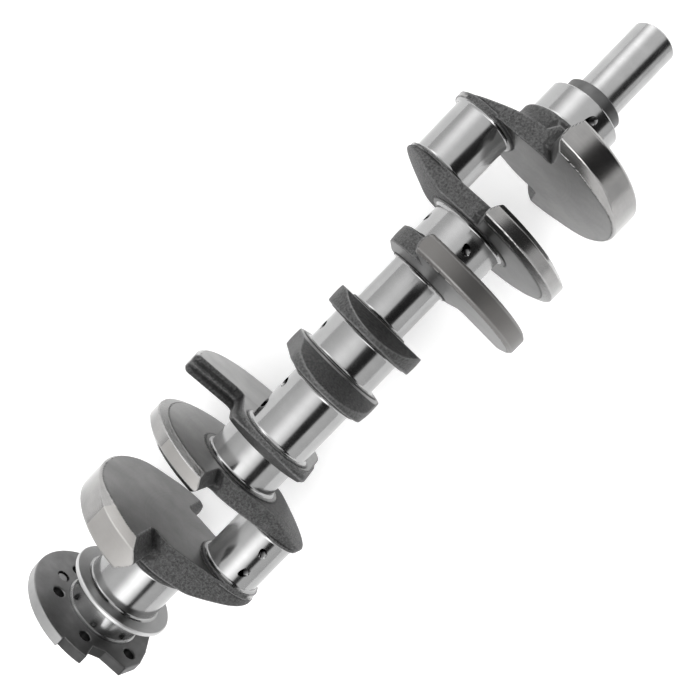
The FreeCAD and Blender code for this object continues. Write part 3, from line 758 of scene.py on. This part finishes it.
class Web:
    """One crank web in its own frame: x from its pin side, y along its throw, and w sideways."""

    def __init__(self, number, cheek, tip, steps, taper=(5.5, 0.424), weight=None, pebbles=1.0, ridge=0.0,
                 patch=None, face_tone_and_shade=0.27, ground=0.33):
        self.number = number
        self.node = f"web_{number}"
        self.low, self.high = span(self.node)
        self.width = self.high - self.low
        self.pin_step, self.main_step = steps
        self.middle_x = (self.pin_step + self.width - self.main_step) / 2
        self.half_width = (self.width - self.main_step - self.pin_step) / 2
        self.angle = math.radians(PIN_ANGLES[(number + 1) // 2])
        self.pin_in_front = number % 2 == 0
        self.cheek = cheek
        self.tip = tip
        self.taper = taper
        self.weight = weight
        self.pebbles = pebbles
        self.ridge = ridge
        self.patch = patch
        self.face_tone_and_shade = face_tone_and_shade
        self.ground = ground

    def own_frame(self, x, y, z):
        """A place in the shared frame, as x from the pin side, distance along the throw, and sideways."""
        inward = self.high - x if self.pin_in_front else x - self.low
        along = y * math.cos(self.angle) + z * math.sin(self.angle)
        aside = y * math.sin(self.angle) - z * math.cos(self.angle)
        return inward, along, aside

    def plate(self, x, y, w):
        """The forged cheek, drafted from its parting line, with its tip tapered off."""
        off_middle = np.abs(x - self.middle_x)
        side = two_circles(y, w, self.cheek, self.tip, CHEEK_TIP - self.tip)
        side = side + SIDE_DRAFT * np.maximum(off_middle - 2.0, 0.0) - self.parting_ridge(x)
        body = soft_and(side, off_middle - self.half_width, 1.2)
        out = np.hypot(y, w)
        tip_width, tip_slope = self.taper
        cone = ((x - tip_width) + tip_slope * (out - CHEEK_TIP)) / math.hypot(1.0, tip_slope)
        cone = cone - TIP_RELEASE_SLOPE * np.maximum(TIP_RELEASE - y, 0.0)
        body = soft_and(body, cone, 1.2)
        if not self.weight:
            sloped = (BACK_SLOPE * (-y - BACK_BEVEL_START) - x) / math.hypot(1.0, BACK_SLOPE)
            body = soft_and(body, sloped, 0.7)
        return body

    def parting_ridge(self, x):
        """How far the ridge along the forging's parting line stands out."""
        return self.ridge * np.exp(-((x - self.middle_x) / RIDGE_WIDTH) ** 2)

    def crown(self, x, apex, pin_fall, main_fall, rounding):
        """How far a counterweight's end has fallen back from its apex."""
        fall = np.where(x < apex, pin_fall, main_fall)
        return fall * (np.hypot(x - apex, rounding) - rounding)

    def balance(self, x, y, w):
        """The counterweight as forged, with crowned ends, before its rim and faces are machined."""
        weight = self.weight
        lead, trail = math.radians(weight["lead"]), math.radians(weight["trail"])
        lead_end = math.sin(lead) * y - math.cos(lead) * w + self.crown(x, *weight["lead_crown"])
        trail_end = math.sin(trail) * y + math.cos(trail) * w + self.crown(x, *weight["trail_crown"])
        ridge = self.parting_ridge(x)
        body = soft_and(lead_end - ridge, trail_end - ridge, 1.0)
        body = soft_and(body, np.abs(x - self.middle_x) - self.half_width - weight["proud"], 2.0)
        return soft_and(body, np.hypot(y, w) - weight["radius"] - weight["proud"], weight["shoulder"])

    def machined(self, x, y, w):
        """The turned rim with its bevels, which are wide near the ends and fade between them."""
        weight = self.weight
        out = np.hypot(y, w)
        rim = out - weight["radius"]
        around = np.degrees(np.arctan2(w, -y))
        near_end = np.minimum(weight["trail"] - around, weight["lead"] + around)
        fade = 1.0 - weight["bevel_fade"] * ramp(near_end, *weight["bevel_run"])
        drop, wide = weight["pin_bevel"]
        steep = drop / wide
        bevel = ((self.pin_step + wide * fade - x) * steep + rim) / math.hypot(1.0, steep)
        rim = soft_and(rim, bevel, 0.6)
        drop, wide = weight["main_bevel"]
        steep = drop / wide
        bevel = (x - self.width + self.main_step + wide) * steep + out - weight["radius"]
        return soft_and(rim, bevel / math.hypot(1.0, steep), 0.6)

    def distance(self, x, y, z):
        """The whole web, with the collars round its pin and its main journal."""
        x, y, w = self.own_frame(x, y, z)
        body = self.plate(x, y, w)
        if self.weight:
            body = soft_or(body, self.balance(x, y, w), self.weight["fillet"])
            body = soft_and(body, self.machined(x, y, w), 0.8)
        faces = np.maximum(self.pin_step - x, x - self.width + self.main_step)
        body = soft_and(body, faces, 0.7)
        pin_reach = np.abs(x - self.pin_step) - self.pin_step
        pin_collar = soft_and(np.hypot(y - THROW, w) - PIN_COLLAR, pin_reach, 0.4)
        main_reach = np.abs(x - self.width + self.main_step) - self.main_step
        collar_radius = MAIN_COLLAR - 0.25 * self.main_step
        collar_rounding = 0.3 + 0.4 * self.main_step
        main_collar = soft_and(np.hypot(y, w) - collar_radius, main_reach, collar_rounding)
        body = soft_or(body, pin_collar, 1.0)
        body = soft_or(body, main_collar, 0.9 + 0.8 * self.main_step)
        return np.maximum(body, np.maximum(-x, x - self.width))

    def build(self):
        """The web's mesh, with its forged, turned and ground places noted on it."""
        low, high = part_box(self.node)
        low = [value / MM - spare for value, spare in zip(low, CROWN_ROOM)]
        high = [value / MM + spare for value, spare in zip(high, CROWN_ROOM)]
        piece, points, normals = skin(f"forged_{self.node}", self.distance, low, high, WEB_STEP)
        x, y, w = self.own_frame(*points.T)
        endwise = np.abs(normals[:, 0])
        face = ramp(endwise, 0.96, 0.98)
        rim = np.zeros(len(points))
        ground = np.zeros(len(points))
        if self.weight:
            past_collar = np.hypot(y, w) > MAIN_COLLAR + 0.5
            as_forged = (x > self.width / 2) & (y > AS_FORGED_START) & past_collar
            face = np.where(as_forged, 0.0, face)
            cut = self.machined(x, y, w)
            rough_shape = soft_or(self.plate(x, y, w), self.balance(x, y, w), self.weight["fillet"])
            rim = ramp(cut - rough_shape, -0.3, 0.5) * (1.0 - ramp(endwise, 0.9, 0.97))
        if self.patch:
            around = np.degrees(np.arctan2(points[:, 2], points[:, 1]))
            start, stop, bevels = self.patch
            ground = ramp(around, start, start + 0.5) * (1.0 - ramp(around, stop - 0.5, stop)) * rim
            if not bevels:
                ground = ground * (1.0 - ramp(endwise, 0.2, 0.4))
        mark(piece, "forged", (1.0 - face) * (1.0 - rim))
        mark(piece, "rim", rim)
        mark(piece, "ground", ground)
        bend = bend_of(self.distance, points)
        # Painted highlight where the surface bends outwards, on its edges.
        mark(piece, "edge", EDGE_PAINTED_HIGHLIGHT * ramp(bend, 0.25, 0.9))
        # Painted shade where the surface bends inwards, in hollows and corners.
        mark(piece, "hollow_painted_shade", HOLLOW_PAINTED_SHADE * ramp(-bend, 0.03, 0.12))
        return piece


# How far the collars stand out on the pin's side and the main journal's side.
END_STEPS = (2.6, 7.0)
STEPS = (1.2, 0.9)

# A counterweight's ends are given by their angles from its middle. A bevel is its drop and its width. A crown
# is its apex across the web, its fall on either side of it, and its rounding. A patch on the rim, ground off
# in balancing, is its first and last angle about the main axis, and whether it takes in the bevels.
END_WEIGHT = {
    "radius": 88.5, "lead": 95.6, "trail": 80.0, "proud": 3.0, "shoulder": 4.0, "fillet": 7.0,
    "pin_bevel": (8.0, 5.5), "main_bevel": (2.5, 2.5), "bevel_run": (30.0, 60.0), "bevel_fade": 0.75,
    "lead_crown": (14.5, 0.4, 0.4, 3.0), "trail_crown": (16.3, 1.35, 0.95, 4.0),
}
THIN_WEIGHT = {
    "radius": 88.5, "lead": 95.8, "trail": 77.5, "proud": 3.0, "shoulder": 4.0, "fillet": 6.0,
    "pin_bevel": (6.0, 4.5), "main_bevel": (9.0, 3.5), "bevel_run": (55.0, 85.0), "bevel_fade": 0.75,
    "lead_crown": (13.5, 0.55, 0.55, 3.0), "trail_crown": (7.6, 0.8, 0.6, 1.5),
}
INNER_WEIGHT = {
    "radius": 95.45, "lead": 18.5, "trail": 103.0, "proud": 3.0, "shoulder": 10.0, "fillet": 8.0,
    "pin_bevel": (3.0, 2.5), "main_bevel": (3.0, 2.5), "bevel_run": (0.0, 1.0), "bevel_fade": 0.0,
    "lead_crown": (10.0, 0.7, 0.7, 6.0), "trail_crown": (10.0, 0.0, 0.0, 1.0),
}

# The cheeks of the outer, inner and plain webs.
OUTER = {"cheek": 45.5, "tip": 29.0}
INNER = {"cheek": 43.4, "tip": 37.0, "steps": STEPS, "weight": INNER_WEIGHT}
PLAIN = {"cheek": 46.4, "tip": 38.0, "steps": STEPS, "pebbles": 0.5}
# A web's face tone below the plain 0.27, and web 3's darker patch tone, are painted shade: darker copies of
# the same steel.
WEBS = [
    {"number": 1, **OUTER, "steps": END_STEPS, "taper": (2.0, 0.46), "weight": END_WEIGHT, "face_tone_and_shade": 0.2},
    {"number": 2, **OUTER, "steps": STEPS, "weight": THIN_WEIGHT, "face_tone_and_shade": 0.12},
    {"number": 3, **INNER, "patch": (60.0, 240.0, True), "face_tone_and_shade": 0.12, "ground": 0.14},
    {"number": 4, **PLAIN},
    {"number": 5, **PLAIN},
    {"number": 6, **INNER, "ridge": 2.2},
    {"number": 7, **OUTER, "steps": STEPS, "weight": THIN_WEIGHT, "patch": (46.3, 100.0, False)},
    {"number": 8, **OUTER, "steps": END_STEPS, "taper": (10.5, 0.52), "weight": END_WEIGHT,
     "patch": (46.0, 100.0, True), "face_tone_and_shade": 0.19},
]


def build_webs():
    """All eight webs, each with its own steel."""
    for sizes in WEBS:
        web = Web(**sizes)
        piece = web.build()
        centre = polar(THROW * MM, math.degrees(web.angle))
        steel = web_finish(f"web {web.number} steel", web.pebbles, web.face_tone_and_shade, web.ground, centre)
        stand_for(piece, web.node, steel)


# ------------------------------------------------------------------ flange

def arc(radius, start, stop, step=3.0):
    """Points round the flange, with angles from +Z towards +Y."""
    count = max(int(abs(stop - start) / step), 1)
    angles = [start + (stop - start) * index / count for index in range(count + 1)]
    return [polar(radius, 90.0 - angle) for angle in angles]


def flange_corners():
    """The flange's outline: a large arc, a smaller one, a squared foot and a shoulder."""
    shoulder = arc(66.5, -9.0, 11.0)
    foot = [(-52.5, 4.3), (-52.5, 21.5), (-43.0, 43.0), (-21.5, 43.0), (shoulder[0][0], 49.0)]
    return arc(FLANGE_RADIUS, 11.0, 150.0) + arc(56.0, 154.0, 238.0) + foot + shoulder


def build_flange():
    """The flange with its bolt holes, pilot bore and the hole for its dowel."""
    low, high = span("flywheel_flange")
    corners = flange_corners()
    bolts = [polar(BOLT_CIRCLE, 90.0 - 360.0 / BOLT_COUNT * number) for number in range(BOLT_COUNT)]
    dowel = (BOLT_CIRCLE, 0.0)

    def distance(x, y, z):
        plate = soft_and(outline(y, z, corners), np.maximum(low - x, x - high), 1.2)
        plate = np.maximum(plate, PILOT_BORE - np.hypot(y, z))
        chamfer = np.maximum(np.maximum(x - high, low - x) + BOLT_CHAMFER, 0.0)
        for centre in bolts:
            out = np.hypot(y - centre[0], z - centre[1])
            plate = np.maximum(plate, BOLT_HOLE + chamfer - out)
        return np.maximum(plate, DOWEL_RADIUS - np.hypot(y - dowel[0], z - dowel[1]))

    box_low = (low, -FLANGE_RADIUS, -FLANGE_RADIUS)
    box_high = (high, FLANGE_RADIUS, FLANGE_RADIUS)
    piece, points, normals = skin("turned_flange", distance, box_low, box_high, FLANGE_STEP)
    # Painted shade in the bolt holes and the dowel's hole, and round their mouths.
    bored = np.zeros(len(points))
    dark_to = [(centre, BOLT_HOLE + 0.3) for centre in bolts] + [(dowel, DOWEL_RADIUS + 0.45)]
    for centre, radius in dark_to:
        out = np.hypot(points[:, 1] - centre[0], points[:, 2] - centre[1])
        bored = np.maximum(bored, ramp(radius - out, 0.0, 0.3))
    # Painted shade: the flange is darker towards -Y, and on the walls round its outline.
    lower = ramp(-points[:, 1], -25.0, 55.0)
    wall = 1.0 - ramp(np.abs(normals[:, 0]), 0.3, 0.7)
    outer = ramp(np.hypot(points[:, 1], points[:, 2]), FLANGE_RADIUS - 2.5, FLANGE_RADIUS - 1.0)
    mark(piece, "rim", 0.45 * outer * wall)
    shaded_wall = 0.76 * wall * (1.0 - outer)
    mark(piece, "bore", np.maximum(bored, np.maximum(0.5 * lower, shaded_wall)))
    stand_for(piece, "flywheel_flange", flange_steel)


# ------------------------------------------------------------------ surroundings

def make_floor():
    """A wide pale floor just under the part."""
    low, high = cad_box
    middle_x, middle_y = (low.x + high.x) / 2, (low.y + high.y) / 2
    mesh = bpy.data.meshes.new("floor")
    reach = 6.0
    gap = 0.0003
    corners = [(-reach, -reach), (reach, -reach), (reach, reach), (-reach, reach)]
    points = [(middle_x + x, middle_y + y, low.z - gap) for x, y in corners]
    mesh.from_pydata(points, [], [(0, 1, 2, 3)])
    mesh.update()
    floor = bpy.data.objects.new("floor", mesh)
    bpy.context.scene.collection.objects.link(floor)
    material, shader, where = new_finish("pale floor")
    patches = shader.add("ShaderNodeGroup", {"node_tree": mottle}, {"Position": where, "Size": 2.0})
    colour = shader.blend(patches.outputs[0], grey(0.93), grey(0.95))
    close_finish(shader, colour, 0.0, 0.9, patches.outputs[0], 0.02, glow=0.28)
    mesh.materials.append(material)


def make_sky():
    """Soft boxes overhead and to both sides, with a dark gap between the top one and the side one.

    Tilt is the angle about the main axis in degrees, 0 overhead and growing towards -Y. The gap begins and
    ends later, and a lamp beside it is brighter, in directions that point along the axis.
    """
    world = bpy.data.worlds.new("studio")
    bpy.context.scene.world = world
    world.use_nodes = True
    world.node_tree.nodes.clear()
    shader = Shader(world.node_tree)
    towards = shader.add("ShaderNodeTexCoord").outputs["Generated"]
    parts = shader.add("ShaderNodeSeparateXYZ", None, {0: towards}).outputs
    tilt = shader.maths("ARCTAN2", shader.maths("MULTIPLY", parts[1], -1.0), parts[2])
    tilt = shader.maths("DEGREES", tilt)
    levels = [(-180, 0.9), (-110, 0.9), (-80, 1.0), (-50, 1.25), (0, 1.25),
              (40, 1.15), (60, 1.1), (80, 1.0), (110, 0.9), (180, 0.9)]
    gap_start, gap_end, gap_depth = 3.0, 50.0, 0.975
    start_shift, end_shift = 60.0, 40.0
    start_blur, end_blur = 3.0, 4.0
    lamp_tilt, lamp_shift, lamp_width = -26.0, -70.0, 34.0
    lamp_light, lamp_endwise_light = 0.1, 3.4
    middle_x = 0.05
    shade = shader.add("ShaderNodeValToRGB", None, {0: shader.maths("MULTIPLY_ADD", tilt, 1.0 / 360.0, 0.5)})
    stops = shade.color_ramp.elements
    while len(stops) > 1:
        stops.remove(stops[-1])
    stops[0].position = 0.0
    stops[0].color = grey(levels[0][1])
    for angle, level in levels[1:]:
        stop = stops.new(angle / 360.0 + 0.5)
        stop.color = grey(level)
    endwise = shader.maths("ABSOLUTE", shader.maths("SUBTRACT", parts[0], middle_x))
    forward = shader.maths("MAXIMUM", parts[0], 0.0)
    begins = shader.maths("MULTIPLY_ADD", endwise, start_shift, gap_start)
    ends = shader.maths("MULTIPLY_ADD", forward, end_shift, gap_end)
    rise = shader.maths("DIVIDE", shader.maths("SUBTRACT", tilt, begins), start_blur)
    fall = shader.maths("DIVIDE", shader.maths("SUBTRACT", ends, tilt), end_blur)
    both = {"operation": "MINIMUM", "use_clamp": True}
    gap = shader.add("ShaderNodeMath", both, {0: rise, 1: fall}).outputs[0]
    lamp_centre = shader.maths("MULTIPLY_ADD", parts[0], lamp_shift, lamp_tilt)
    off_lamp = shader.maths("ABSOLUTE", shader.maths("SUBTRACT", tilt, lamp_centre))
    lamp = shader.add("ShaderNodeMapRange", {"interpolation_type": "SMOOTHSTEP"},
                      {0: off_lamp, 1: 0.0, 2: lamp_width, 3: 1.0, 4: 0.0}).outputs[0]
    lamp_strength = shader.maths("MULTIPLY_ADD", endwise, lamp_endwise_light, lamp_light)
    lamp = shader.maths("MULTIPLY", lamp, lamp_strength)
    open_sky = shader.maths("ADD", lamp, 1.0)
    strength = shader.maths("MULTIPLY", open_sky, shader.maths("MULTIPLY_ADD", gap, -gap_depth, 1.0))
    back = shader.add("ShaderNodeBackground", None, {"Color": shade.outputs[0], "Strength": strength})
    end = shader.add("ShaderNodeOutputWorld")
    shader.tree.links.new(back.outputs[0], end.inputs[0])


def make_camera():
    """A camera above the part, turned so that the part lies from the lower left to the upper right."""
    data = bpy.data.cameras.new("camera")
    data.lens = 38.54
    data.sensor_width = 36.0
    camera = bpy.data.objects.new("camera", data)
    camera.location = (0.36045, 0.05258, 0.63371)
    camera.rotation_euler = [math.radians(angle) for angle in (-5.48, -0.906, -46.045)]
    bpy.context.scene.collection.objects.link(camera)
    bpy.context.scene.camera = camera


make_camera()
make_sky()
make_floor()
build_turned_sections()
build_webs()
build_flange()
bpy.context.scene.view_settings.view_transform = "Standard"
